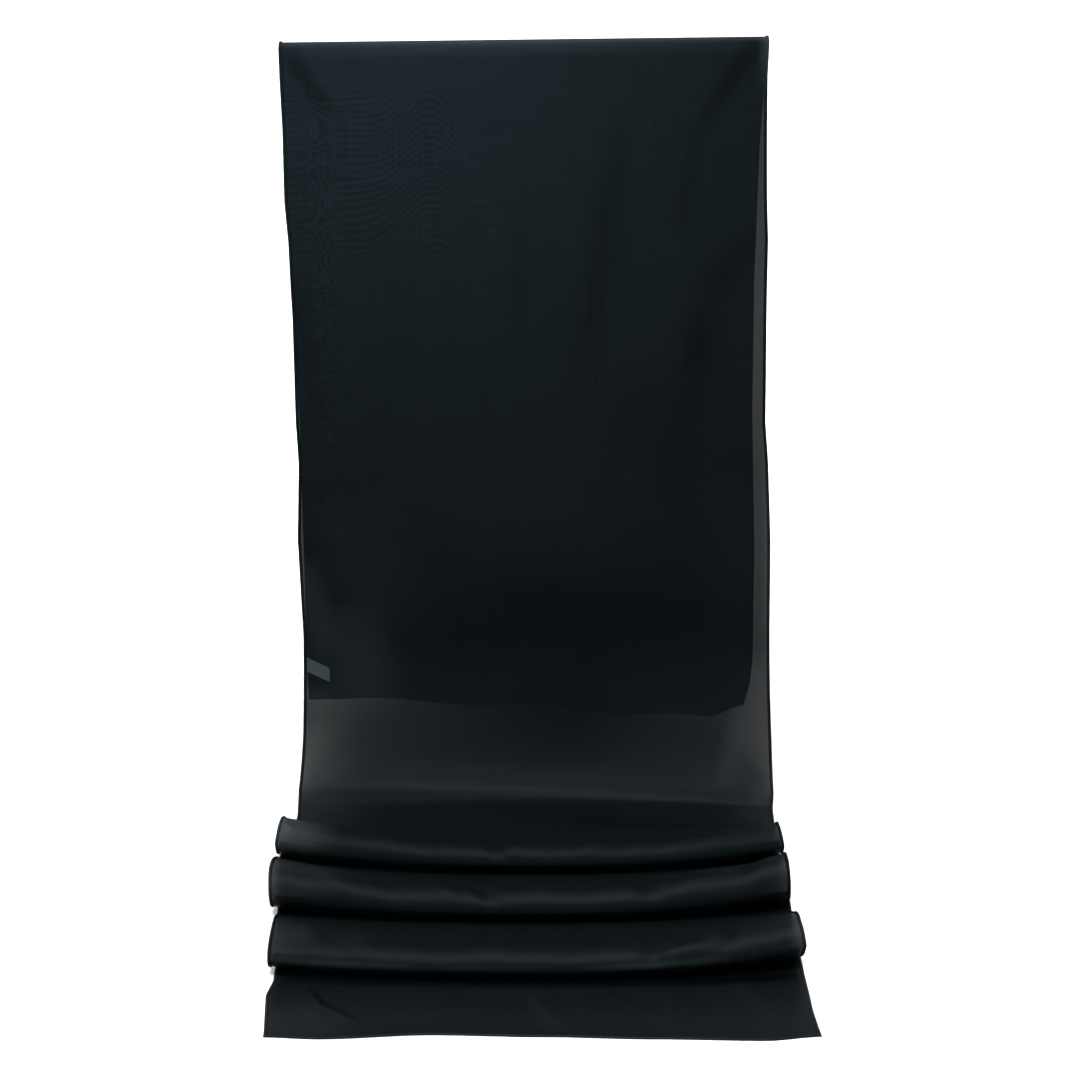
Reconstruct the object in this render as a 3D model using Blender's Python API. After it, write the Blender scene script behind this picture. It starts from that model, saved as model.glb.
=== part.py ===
"""Silk long scarf hung over a thin rod, with its front end lying in three rolled folds.

Metres, +Z up. The origin is on the rod's axis at the middle of its length. The front
stretch hangs at -Y and runs forward along -Y where it lies on its surface, +X is to the right.

The scarf is one length of cloth with a rolled hem on all four edges. Its middle surface is
worked out row by row, from the back hem up over the rod, down the front and out to the
front hem. Each stretch of rows becomes a closed wall of its own.
"""

import math
from collections import namedtuple

import bpy
import numpy as np

# Driving dimensions
WIDTH = 0.3556            # cut width, 14 in
DROP = 0.557              # rod's axis down to the surface that the front end lies on
WALL = 0.0010             # thickness of the cloth's wall
GAP = 0.0003              # between pieces that touch
ROD_RADIUS = 0.0040
ROD_LENGTH = 0.3510       # its ends stay 2 mm inside the cloth's edges
ROD_SLOPE = 0.0122        # the rod rises a little towards +X
HEM_DISTANCE = (0.0, 0.0010, 0.0026)   # rows of the rolled hem, in from the edge
HEM_RAISE = (0.0005, 0.0010, 0.0)      # and how far each row stands out from the cloth
INNER_COLUMNS = 20        # columns of points between the two side hems
COLUMN_CROWDING = 1.1     # radians of a sine, which crowds the columns towards the edges

BEND_RADIUS = ROD_RADIUS + GAP + WALL / 2
LYING = -DROP + WALL / 2  # height of the middle surface where the cloth lies flat

# The hanging stretches
BACK_WAVES = 3            # soft upright waves across the back stretch
BACK_WAVE_DEPTH = 0.009   # from trough to crest, at the back hem
BACK_SWING = 0.010        # how much further back the right part of the back hem hangs
FOOT_HEIGHT = 0.110       # where the front stretch starts to curve forward
FOOT_LANDING = 0.069      # forward distance at which it meets the surface
FOOT_LEFT_REACH = 0.024   # how much further forward it does so at the two side hems
FOOT_RIGHT_REACH = 0.015
FOOT_DOWN_HANDLE = 0.060  # lengths of the curve's two handles
FOOT_BACK_HANDLE = 0.022
FOOT_LEFT_EASE = 0.034    # how much longer the second one is at the left side hem
FOOT_POWER = 1.6
FOOT_END = 0.128          # forward distance at which the first fold starts to rise

# The rolled folds
NOSE_DEPTH = 0.018        # from a fold's crest forward to its nose
RETURN_HEIGHT = LYING + 0.0038   # of the layer that goes back under the nose, at its turn
UNDER_HEIGHT = LYING + 0.0018    # and where it is lowest, just behind the nose
HEM_ROOM = 0.0020         # how much higher it stays at the side hems, which are thicker
HEM_ROOM_POWER = 12
TIP_SHARE = 0.53          # height of the nose's tip, as a share from return to crest
RISE_START_SLOPE = 0.10   # slopes of the top layer where it starts to rise, and at the crest
RISE_END_SLOPE = 0.04
RISE_LEFT_SLOPE = 0.34    # how much steeper it starts at the two side hems
RISE_RIGHT_SLOPE = 0.16

# Places within a fold's stretch, for the table of edges
START, RISE, CREST, TIP, UNDER, TUCK, END = range(7)

Fold = namedtuple("Fold", "name nose left_pull right_pull crest left_extra right_extra "
                          "left_lift right_lift tuck")
FOLDS = (
    Fold("fold_1", 0.233, 0.028, 0.030, 0.0195, 0.0080, 0.0030, 0.000, 0.000, 0.0360),
    Fold("fold_2", 0.327, 0.014, 0.022, 0.0205, 0.0105, 0.0150, 0.001, 0.003, 0.0360),
    Fold("fold_3", 0.431, 0.011, 0.021, 0.0190, 0.0020, 0.0110, 0.001, 0.004, 0.0360),
)
PULL_POWER = 2.4          # how sharply each of these gathers towards the fold's end
RISE_POWER = 2.4

# Soft ridges on the front stretch: where each starts and ends across and down, and its size
Ridge = namedtuple("Ridge", "top_across top_drop low_across low_drop half_width height")
RIDGES = (
    Ridge(0.45, 0.00, 0.22, 0.33, 0.030, 0.0022),
    Ridge(0.18, 0.05, 0.12, 0.22, 0.024, 0.0014),
    Ridge(-0.30, 0.00, -0.40, 0.40, 0.040, 0.0018),
    Ridge(-0.05, 0.10, -0.02, 0.44, 0.050, 0.0012),
)

# Hem lines: distance of the hem at each place across, from the rod's axis
HemPoint = namedtuple("HemPoint", "across distance")
BACK_HEM = (
    HemPoint(-0.50, 0.501), HemPoint(-0.30, 0.503), HemPoint(0.00, 0.510),
    HemPoint(0.30, 0.518), HemPoint(0.42, 0.519), HemPoint(0.50, 0.509),
)
FRONT_HEM = (
    HemPoint(-0.50, 0.5165), HemPoint(-0.40, 0.5195), HemPoint(-0.20, 0.5130),
    HemPoint(0.00, 0.5160), HemPoint(0.20, 0.5195), HemPoint(0.40, 0.5220),
    HemPoint(0.50, 0.5155),
)

# The two long edges, in widths from the rod's middle, at places along each stretch. The
# place runs from 0 to 1 in the plain stretches, and is one of the names above in a fold.
Edge = namedtuple("Edge", "place left right")
EDGES = {
    "back_panel": (
        Edge(0.00, -0.464, 0.471), Edge(0.03, -0.466, 0.484), Edge(0.08, -0.467, 0.490),
        Edge(0.25, -0.470, 0.489), Edge(0.45, -0.474, 0.480), Edge(0.65, -0.484, 0.479),
        Edge(0.85, -0.495, 0.486), Edge(1.00, -0.500, 0.499),
    ),
    "top_bend": (
        Edge(0.00, -0.500, 0.499), Edge(1.00, -0.502, 0.501),
    ),
    "front_panel": (
        Edge(0.00, -0.502, 0.501), Edge(0.05, -0.5005, 0.4985), Edge(0.14, -0.4965, 0.4990),
        Edge(0.25, -0.4955, 0.5015), Edge(0.32, -0.4890, 0.5050), Edge(0.45, -0.4830, 0.5045),
        Edge(0.63, -0.4800, 0.5060), Edge(0.70, -0.4755, 0.5130), Edge(0.83, -0.4805, 0.5205),
        Edge(1.00, -0.4720, 0.5220),
    ),
    "foot": (
        Edge(0.00, -0.4720, 0.5220), Edge(0.35, -0.4725, 0.5250), Edge(0.60, -0.4770, 0.5250),
        Edge(0.80, -0.4730, 0.5195), Edge(1.00, -0.4740, 0.5180),
    ),
    "fold_1": (
        Edge(START, -0.4740, 0.5180), Edge(CREST, -0.4910, 0.5160), Edge(TIP, -0.4990, 0.5230),
        Edge(END, -0.4930, 0.5180),
    ),
    "fold_2": (
        Edge(START, -0.4930, 0.5180), Edge(CREST, -0.4925, 0.5140), Edge(TIP, -0.4900, 0.5170),
        Edge(END, -0.4800, 0.5220),
    ),
    "fold_3": (
        Edge(START, -0.4800, 0.5220), Edge(CREST, -0.4715, 0.5255), Edge(TIP, -0.4715, 0.5250),
        Edge(UNDER, -0.4700, 0.5180), Edge(END, -0.4620, 0.5220),
    ),
    "front_end": (
        Edge(0.00, -0.4620, 0.5220), Edge(0.30, -0.4605, 0.5240), Edge(0.48, -0.4695, 0.5260),
        Edge(0.70, -0.4655, 0.5275), Edge(0.90, -0.4615, 0.5320), Edge(1.00, -0.4605, 0.5350),
    ),
}

# The label on the inner side of the back stretch, sewn in at the left hem
LABEL_WALL = 0.0010
LABEL_LENGTH = 0.0190     # along X, away from the hem
LABEL_HEIGHT = 0.0112
LABEL_FALL = 0.0085       # how far its free end droops
LABEL_DROP = 0.4670       # rod's axis down to its upper corner at the hem
LABEL_ACROSS = -0.4975    # its place across, at the hem
LABEL_CELLS = (5, 2)

# Rows of points along each piece of the scarf's path
BACK_ROWS = 10
BEND_ROWS = 8
FRONT_ROWS = 12
FOOT_CURVE_ROWS = 7
FOOT_FLAT_ROWS = 3
RISE_ROWS = 7
NOSE_ROWS = 5             # for each quarter of the nose
RETURN_ROWS = 3
TURN_ROWS = 5
END_ROWS = 4

SHARP_ANGLE = math.radians(40)

SILK = ("silk", (0.0090, 0.0135, 0.0155), 0.45)
LABEL_TAPE = ("label_tape", (0.50, 0.53, 0.54), 0.60)
ROD_PAINT = ("rod_paint", (0.80, 0.80, 0.79), 0.40)


def clear_scene():
    for item in list(bpy.data.objects):
        bpy.data.objects.remove(item, do_unlink=True)


def smooth(value):
    """Eased step from 0 to 1."""
    t = min(max(value, 0.0), 1.0)
    return t * t * (3.0 - 2.0 * t)


def read_line(points, across):
    """Distance of a hem line at a place across, on a smooth curve through its points."""
    for low, high in zip(points, points[1:]):
        if across <= high.across:
            break
    share = (across - low.across) / (high.across - low.across)
    return low.distance + (high.distance - low.distance) * smooth(share)


def gathered(across, middle, left, right, power):
    """A value that changes by left or right towards that end of the cloth's width."""
    toward_left = max(0.0, -2.0 * across) ** power
    toward_right = max(0.0, 2.0 * across) ** power
    return middle + left * toward_left + right * toward_right


def even(count, first=0.0, last=1.0):
    return [first + (last - first) * i / (count - 1) for i in range(count)]


# Each section function gives one column's points along its stretch, as
# (place, y, z), starting at the end that is nearer to the back hem.

def back_section(across):
    hem = read_line(BACK_HEM, across)
    drops = [hem - d for d in HEM_DISTANCE] + even(BACK_ROWS, hem * 0.95, 0.0)
    wave = 0.5 - 0.5 * math.cos(2.0 * math.pi * BACK_WAVES * (across + 0.5))
    swing = BACK_SWING * smooth((across + 0.35) / 0.5)
    section = []
    for drop in drops:
        share = drop / hem
        y = BEND_RADIUS + share * BACK_WAVE_DEPTH * wave + share * share * swing
        section.append((1.0 - share, y, -drop))
    return section


def bend_section(across):
    return [(turn, BEND_RADIUS * math.cos(math.pi * turn), BEND_RADIUS * math.sin(math.pi * turn))
            for turn in even(BEND_ROWS)]


def ridge_height(across, drop):
    """How far the front stretch's soft ridges stand forward at one place."""
    height = 0.0
    for ridge in RIDGES:
        along = (drop - ridge.top_drop) / (ridge.low_drop - ridge.top_drop)
        if not 0.0 < along < 1.0:
            continue
        middle = ridge.top_across + (ridge.low_across - ridge.top_across) * along
        reach = (across - middle) * WIDTH / ridge.half_width
        if abs(reach) < 1.0:
            side = 0.5 + 0.5 * math.cos(math.pi * reach)
            height += ridge.height * side * math.sin(math.pi * along)
    return height


def front_section(across):
    section = []
    for place in even(FRONT_ROWS):
        drop = place * (DROP - FOOT_HEIGHT)
        section.append((place, -BEND_RADIUS - ridge_height(across, drop), -drop))
    return section


def foot_section(across):
    landing = gathered(across, FOOT_LANDING, FOOT_LEFT_REACH, FOOT_RIGHT_REACH, FOOT_POWER)
    back_handle = gathered(across, FOOT_BACK_HANDLE, FOOT_LEFT_EASE, 0.0, FOOT_POWER)
    handles = (
        (BEND_RADIUS, FOOT_HEIGHT - DROP),
        (BEND_RADIUS, FOOT_HEIGHT - DROP - FOOT_DOWN_HANDLE),
        (landing - back_handle, LYING),
        (landing, LYING),
    )
    section = []
    curve_share = 0.75
    for t in even(FOOT_CURVE_ROWS):
        weights = ((1 - t) ** 3, 3 * t * (1 - t) ** 2, 3 * t * t * (1 - t), t ** 3)
        forward = sum(w * point[0] for w, point in zip(weights, handles))
        height = sum(w * point[1] for w, point in zip(weights, handles))
        section.append((t * curve_share, -forward, height))
    for t in even(FOOT_FLAT_ROWS)[1:]:
        forward = landing + (FOOT_END - landing) * t
        section.append((curve_share + (1 - curve_share) * t, -forward, LYING))
    return section


def nose_of(fold, across):
    return gathered(across, fold.nose, -fold.left_pull, -fold.right_pull, PULL_POWER)


def turn_of(fold, across):
    """Forward distance of the back turn, where the return layer meets the next one."""
    return nose_of(fold, across) - fold.tuck


def fold_section(index, across):
    fold = FOLDS[index]
    nose = nose_of(fold, across)
    crest_height = LYING + gathered(across, fold.crest, fold.left_extra, fold.right_extra,
                                    RISE_POWER)
    under_height = UNDER_HEIGHT + gathered(across, 0.0, HEM_ROOM, HEM_ROOM, HEM_ROOM_POWER)
    under_height += gathered(across, 0.0, fold.left_lift, fold.right_lift, RISE_POWER)
    tip_height = under_height + TIP_SHARE * (crest_height - under_height)
    crest = nose - NOSE_DEPTH
    turn = turn_of(fold, across)
    if index == 0:
        start = rise = FOOT_END
    else:
        start = turn_of(FOLDS[index - 1], across)
        rise = nose_of(FOLDS[index - 1], across) - NOSE_DEPTH / 2

    section = []
    if rise > start:
        section.append((START, -start, LYING))
    run = crest - rise
    start_slope = gathered(across, RISE_START_SLOPE, RISE_LEFT_SLOPE, RISE_RIGHT_SLOPE,
                           RISE_POWER)
    for t in even(RISE_ROWS):
        # Cubic from the start's height and slope to the crest's
        height = (LYING + (crest_height - LYING) * t * t * (3 - 2 * t)
                  + start_slope * run * t * (1 - t) ** 2
                  - RISE_END_SLOPE * run * t * t * (1 - t))
        section.append((RISE + t, -(rise + run * t), height))
    for t in even(NOSE_ROWS)[1:]:
        turned = math.pi / 2 * t
        section.append((CREST + t, -(crest + NOSE_DEPTH * math.sin(turned)),
                        tip_height + (crest_height - tip_height) * math.cos(turned)))
    for t in even(NOSE_ROWS)[1:]:
        turned = math.pi / 2 * t
        section.append((TIP + t, -(crest + NOSE_DEPTH * math.cos(turned)),
                        tip_height - (tip_height - under_height) * math.sin(turned)))
    for t in even(RETURN_ROWS)[1:]:
        section.append((UNDER + t, -(crest + (turn - crest) * t),
                        under_height + (RETURN_HEIGHT - under_height) * smooth(t)))
    radius = (RETURN_HEIGHT - LYING) / 2
    for t in even(TURN_ROWS)[1:]:
        section.append((TUCK + t, -turn + radius * math.sin(math.pi * t),
                        LYING + radius + radius * math.cos(math.pi * t)))
    return section


def end_section(across):
    start = turn_of(FOLDS[-1], across)
    hem = read_line(FRONT_HEM, across)
    length = hem - start
    forwards = even(END_ROWS, start, hem - 0.08 * length) + [hem - d for d in
                                                            reversed(HEM_DISTANCE)]
    return [((forward - start) / length, -forward, LYING) for forward in forwards]


SECTIONS = (
    ("back_panel", back_section),
    ("top_bend", bend_section),
    ("front_panel", front_section),
    ("foot", foot_section),
    ("fold_1", lambda across: fold_section(0, across)),
    ("fold_2", lambda across: fold_section(1, across)),
    ("fold_3", lambda across: fold_section(2, across)),
    ("front_end", end_section),
)


def columns():
    """Places across the width, from -0.5 at the left edge to 0.5 at the right one."""
    hems = [distance / WIDTH for distance in HEM_DISTANCE[:-1]]
    inner = 0.5 - HEM_DISTANCE[-1] / WIDTH
    middle = [inner * math.sin(COLUMN_CROWDING * t) / math.sin(COLUMN_CROWDING)
              for t in even(INNER_COLUMNS, -1.0, 1.0)]
    return [-0.5 + h for h in hems] + middle + [0.5 - h for h in reversed(hems)]


def side_place(stretch, place, across):
    """X of a point, between the stretch's two long edges."""
    rows = EDGES[stretch]
    places = [row.place for row in rows]
    left = np.interp(place, places, [row.left for row in rows])
    right = np.interp(place, places, [row.right for row in rows])
    return WIDTH * (left + (right - left) * (across + 0.5))


def whole_sheet():
    """The middle surface of the whole scarf, its outward directions, and each stretch's rows."""
    across_places = columns()
    rows = []
    slices = {}
    for name, section in SECTIONS:
        by_column = [section(across) for across in across_places]
        first = len(rows) - 1 if rows else 0
        for step, cells in enumerate(zip(*by_column)):
            if rows and step == 0:
                continue
            rows.append([(side_place(name, place, across), y, z)
                         for across, (place, y, z) in zip(across_places, cells)])
        slices[name] = slice(first, len(rows))
    points = np.array(rows)
    hung = np.clip(1.0 + points[:, :, 2] / (DROP - FOOT_HEIGHT), 0.0, 1.0)
    points[:, :, 2] += ROD_SLOPE * points[:, :, 0] * hung
    outward = np.cross(np.gradient(points, axis=0), np.gradient(points, axis=1))
    outward /= np.linalg.norm(outward, axis=2, keepdims=True)
    return points, outward, slices


def hem_raise(points, first_is_hem, last_is_hem):
    """How far the outer side stands out at each point, for the rolled hems."""
    raised = np.zeros(points.shape[:2])
    for step, height in enumerate(HEM_RAISE):
        raised[:, step] = np.maximum(raised[:, step], height)
        raised[:, -1 - step] = np.maximum(raised[:, -1 - step], height)
        if first_is_hem:
            raised[step, :] = np.maximum(raised[step, :], height)
        if last_is_hem:
            raised[-1 - step, :] = np.maximum(raised[-1 - step, :], height)
    return raised


def pull_in(points, end, neighbour):
    """Moves an end row towards its neighbour by half of the gap between two stretches."""
    along = points[neighbour] - points[end]
    along /= np.linalg.norm(along, axis=1, keepdims=True)
    points[end] += along * GAP / 2


def material(name, colour, roughness):
    made = bpy.data.materials.new(name)
    made.use_nodes = True
    shader = made.node_tree.nodes["Principled BSDF"]
    shader.inputs["Base Color"].default_value = (*colour, 1.0)
    shader.inputs["Roughness"].default_value = roughness
    shader.inputs["Metallic"].default_value = 0.0
    return made


def place_mesh(name, vertices, faces, finish):
    mesh = bpy.data.meshes.new(name)
    mesh.from_pydata([tuple(float(c) for c in vertex) for vertex in vertices], [], faces)
    mesh.materials.append(finish)
    mesh.shade_smooth()
    mesh.set_sharp_from_angle(angle=SHARP_ANGLE)
    mesh.update()
    made = bpy.data.objects.new(name, mesh)
    bpy.context.scene.collection.objects.link(made)
    return made


def wall(name, outer, inner, finish):
    """A closed wall between an outer and an inner grid of points."""
    row_count, column_count = outer.shape[:2]
    inner_start = row_count * column_count

    def corner(row, column):
        return row * column_count + column

    faces = []
    for row in range(row_count - 1):
        for column in range(column_count - 1):
            quad = (corner(row, column), corner(row + 1, column),
                    corner(row + 1, column + 1), corner(row, column + 1))
            faces.append(quad)
            faces.append(tuple(inner_start + index for index in reversed(quad)))
    rim = ([corner(row, 0) for row in range(row_count)]
           + [corner(row_count - 1, column) for column in range(1, column_count)]
           + [corner(row, column_count - 1) for row in range(row_count - 2, -1, -1)]
           + [corner(0, column) for column in range(column_count - 2, 0, -1)])
    for here, there in zip(rim, rim[1:] + rim[:1]):
        faces.append((there, here, inner_start + here, inner_start + there))
    vertices = np.concatenate((outer.reshape(-1, 3), inner.reshape(-1, 3)))
    return place_mesh(name, vertices, faces, finish)


def make_scarf(finish):
    points, outward, slices = whole_sheet()
    names = list(slices)
    for name, rows in slices.items():
        middle = points[rows].copy()
        direction = outward[rows]
        first_is_hem = name == names[0]
        last_is_hem = name == names[-1]
        if not first_is_hem:
            pull_in(middle, 0, 1)
        if not last_is_hem:
            pull_in(middle, -1, -2)
        raised = hem_raise(middle, first_is_hem, last_is_hem)[:, :, None]
        outer = middle + direction * (WALL / 2 + raised)
        inner = middle - direction * WALL / 2
        for side in (outer, inner):
            side[:, :, 2] = np.maximum(side[:, :, 2], -DROP)
        wall(name, outer, inner, finish)


def make_label(finish):
    """The label's points are the back stretch's, moved towards the front one."""
    across_cells, down_cells = LABEL_CELLS
    off_cloth = WALL / 2 + GAP
    middle = []
    for column in even(across_cells + 1):
        across = LABEL_ACROSS + column * LABEL_LENGTH / WIDTH
        section = back_section(across)
        drops = [-z for _, _, z in section]
        line = []
        for row in even(down_cells + 1):
            drop = LABEL_DROP + column * LABEL_FALL + row * LABEL_HEIGHT
            y = np.interp(-drop, [-d for d in drops], [y for _, y, _ in section])
            place = np.interp(-drop, [-d for d in drops], [place for place, _, _ in section])
            line.append((side_place("back_panel", place, across), y, -drop))
        middle.append(line)
    middle = np.array(middle)
    front = middle - np.array((0.0, off_cloth + LABEL_WALL, 0.0))
    back = middle - np.array((0.0, off_cloth, 0.0))
    wall("label", back, front, finish)


def make_rod(finish):
    """A plain round rod, its middle at the origin and its ends just inside the cloth."""
    bpy.ops.mesh.primitive_cylinder_add(
        vertices=32, radius=ROD_RADIUS, depth=ROD_LENGTH,
        rotation=(0.0, math.pi / 2 - math.atan(ROD_SLOPE), 0.0))
    rod = bpy.context.active_object
    rod.name = rod.data.name = "rod"
    rod.data.materials.append(finish)
    rod.data.shade_smooth()
    rod.data.set_sharp_from_angle(angle=SHARP_ANGLE)


clear_scene()
make_scarf(material(*SILK))
make_label(material(*LABEL_TAPE))
make_rod(material(*ROD_PAINT))
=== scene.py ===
"""Looks of the silk long scarf that hangs over a thin rod.

Metres, +Z up, in the part's own frame: the origin is on the rod's axis at the middle of its
length, +X is to the right, and the front end lies towards -Y. The scarf is one thin sheet,
worked out row by row from the back hem up over the rod, down the front and out to the front
hem. Soft troughs and ridges from a table then crease it. The rolled hems and a small bare
label are pieces of their own, and the stitches are in the hems' finish.
"""

import math
from collections import namedtuple

import bpy
import numpy as np
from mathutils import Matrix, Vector


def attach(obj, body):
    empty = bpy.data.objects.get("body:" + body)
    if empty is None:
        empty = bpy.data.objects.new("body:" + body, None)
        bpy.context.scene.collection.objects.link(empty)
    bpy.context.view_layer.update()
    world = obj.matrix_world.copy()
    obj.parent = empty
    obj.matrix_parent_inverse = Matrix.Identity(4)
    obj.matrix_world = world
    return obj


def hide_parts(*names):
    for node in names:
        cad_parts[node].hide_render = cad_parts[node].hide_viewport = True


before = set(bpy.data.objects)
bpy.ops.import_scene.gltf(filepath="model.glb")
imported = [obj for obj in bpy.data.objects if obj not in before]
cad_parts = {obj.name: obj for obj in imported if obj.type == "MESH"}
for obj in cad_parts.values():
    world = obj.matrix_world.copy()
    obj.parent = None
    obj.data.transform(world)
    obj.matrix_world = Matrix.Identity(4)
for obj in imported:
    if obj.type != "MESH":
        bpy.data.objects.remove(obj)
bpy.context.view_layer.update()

# ---------------------------------------------------------------------------
# Sizes that the sheet shares with the solids
# ---------------------------------------------------------------------------

WIDTH = 0.3556            # cut width, 14 in
DROP = 0.557              # rod's axis down to the surface that the front end lies on
WALL = 0.0010             # thickness of the solids' wall
GAP = 0.0003              # between that wall and the rod
ROD_RADIUS = 0.0040
ROD_SLOPE = 0.0122        # the rod rises a little towards +X

BEND_RADIUS = ROD_RADIUS + GAP + WALL / 2
LYING = -DROP + WALL / 2  # height of the sheet where it lies flat

BACK_WAVES = 3            # soft upright waves across the back stretch
BACK_WAVE_DEPTH = 0.009
BACK_SWING = 0.010        # how much further out the right side of its hem hangs
BACK_SWING_START = -0.35  # where that starts across the cloth, in widths from its middle
BACK_SWING_WIDTH = 0.5
FOOT_HEIGHT = 0.110       # where the front stretch starts to curve forward
FOOT_LANDING = 0.069      # forward distance at which it meets the surface
FOOT_LEFT_REACH = 0.024   # how much further forward it does so at the two side hems
FOOT_RIGHT_REACH = 0.015
FOOT_DOWN_HANDLE = 0.060  # lengths of the curve's two handles
FOOT_BACK_HANDLE = 0.022
FOOT_LEFT_EASE = 0.034    # how much longer the second one is at the left side hem
FOOT_POWER = 1.6          # how closely these changes keep to the two side hems
FOOT_CURVE_SHARE = 0.75   # places along the foot up to which it curves
FOOT_END = 0.128          # forward distance at which the first fold starts to rise

NOSE_DEPTH = 0.018        # from a fold's crest forward to its nose
RETURN_HEIGHT = LYING + 0.0038   # of a fold's lower layer at its turn in the back
UNDER_HEIGHT = LYING + 0.0018    # and of the same layer under the nose
HEM_ROOM = 0.0020         # how much higher that is at the two side hems, which are thicker
HEM_ROOM_POWER = 12
TIP_SHARE = 0.53          # height of the nose's tip, as a share from its underside to its crest
RISE_START_SLOPE = 0.10
RISE_END_SLOPE = 0.04
RISE_LEFT_SLOPE = 0.34    # how much steeper the rise starts at the two side hems
RISE_RIGHT_SLOPE = 0.16

# Places within a fold's stretch
START, RISE, CREST, TIP, UNDER, TUCK, END = range(7)

# A fold's nose is its distance forward and its crest its height. At the two side hems the
# pulls take the nose back, the extras raise the crest and the lifts raise the underside. Its
# lower layer reaches back from the nose by the tuck and turns there.
Fold = namedtuple("Fold", "name nose left_pull right_pull crest left_extra right_extra "
                          "left_lift right_lift tuck")
FOLDS = (
    Fold("fold_1", 0.233, 0.028, 0.030, 0.0195, 0.0080, 0.0030, 0.000, 0.000, 0.0360),
    Fold("fold_2", 0.327, 0.014, 0.022, 0.0205, 0.0105, 0.0150, 0.001, 0.003, 0.0360),
    Fold("fold_3", 0.431, 0.011, 0.021, 0.0190, 0.0020, 0.0110, 0.001, 0.004, 0.0360),
)
PULL_POWER = 2.4          # how closely the pulls keep to the two side hems
RISE_POWER = 2.4          # and the changes of height

# How far down or forward from the rod's axis the two end hems lie, at places across the cloth
# in widths from its middle
HemPoint = namedtuple("HemPoint", "across distance")
BACK_HEM = (
    HemPoint(-0.50, 0.501), HemPoint(-0.30, 0.503), HemPoint(0.00, 0.510),
    HemPoint(0.30, 0.518), HemPoint(0.42, 0.519), HemPoint(0.50, 0.509),
)
FRONT_HEM = (
    HemPoint(-0.50, 0.5165), HemPoint(-0.40, 0.5195), HemPoint(-0.20, 0.5130),
    HemPoint(0.00, 0.5160), HemPoint(0.20, 0.5195), HemPoint(0.40, 0.5220),
    HemPoint(0.50, 0.5155),
)

# The two long edges, in widths from the rod's middle, at places along each stretch
Edge = namedtuple("Edge", "place left right")
EDGES = {
    "back_panel": (
        Edge(0.00, -0.464, 0.471), Edge(0.03, -0.466, 0.484), Edge(0.08, -0.467, 0.490),
        Edge(0.25, -0.470, 0.489), Edge(0.45, -0.474, 0.480), Edge(0.65, -0.484, 0.479),
        Edge(0.85, -0.495, 0.486), Edge(1.00, -0.500, 0.499),
    ),
    "top_bend": (
        Edge(0.00, -0.500, 0.499), Edge(1.00, -0.502, 0.501),
    ),
    "front_panel": (
        Edge(0.00, -0.502, 0.501), Edge(0.05, -0.5005, 0.4985), Edge(0.14, -0.4965, 0.4990),
        Edge(0.25, -0.4955, 0.5015), Edge(0.32, -0.4890, 0.5050), Edge(0.45, -0.4830, 0.5045),
        Edge(0.63, -0.4800, 0.5060), Edge(0.70, -0.4755, 0.5130), Edge(0.83, -0.4805, 0.5205),
        Edge(1.00, -0.4720, 0.5220),
    ),
    "foot": (
        Edge(0.00, -0.4720, 0.5220), Edge(0.35, -0.4725, 0.5250), Edge(0.60, -0.4770, 0.5250),
        Edge(0.80, -0.4730, 0.5195), Edge(1.00, -0.4740, 0.5180),
    ),
    "fold_1": (
        Edge(START, -0.4740, 0.5180), Edge(CREST, -0.4910, 0.5160), Edge(TIP, -0.4990, 0.5230),
        Edge(END, -0.4930, 0.5180),
    ),
    "fold_2": (
        Edge(START, -0.4930, 0.5180), Edge(CREST, -0.4925, 0.5140), Edge(TIP, -0.4900, 0.5170),
        Edge(END, -0.4800, 0.5220),
    ),
    "fold_3": (
        Edge(START, -0.4800, 0.5220), Edge(CREST, -0.4715, 0.5200), Edge(TIP, -0.4715, 0.5270),
        Edge(UNDER, -0.4700, 0.5180), Edge(END, -0.4620, 0.5220),
    ),
    "front_end": (
        Edge(0.00, -0.4620, 0.5220), Edge(0.30, -0.4605, 0.5240), Edge(0.48, -0.4695, 0.5260),
        Edge(0.70, -0.4655, 0.5275), Edge(0.90, -0.4615, 0.5320), Edge(1.00, -0.4605, 0.5350),
    ),
}

# ---------------------------------------------------------------------------
# The sheet's own detail
# ---------------------------------------------------------------------------

COLUMNS = 181
COLUMN_CROWDING = 1.0     # radians of a sine, which crowds the columns towards the edges
BACK_ROWS = 60
BEND_ROWS = 15
FRONT_ROWS = 120
FOOT_CURVE_ROWS = 46
FOOT_FLAT_ROWS = 12
UNDER_RETURN_ROWS = 6     # the flat start of a fold, under the one behind it
RISE_ROWS = 24
NOSE_ROWS = 11            # for each quarter of the nose
RETURN_ROWS = 8
TURN_ROWS = 7
END_ROWS = 34

FLUTTER_DEPTH = 0.0011    # small waves in the free side edges where the cloth hangs
FLUTTER_LENGTHS = (0.083, 0.049)
FLUTTER_POWER = 9         # how closely they keep to the edges
FLUTTER_END_POWER = 0.5   # and how soon they fade in from the ends of a stretch

LINE_END_POWER = 0.7      # how soon a line of the two tables below fades in from its ends

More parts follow.
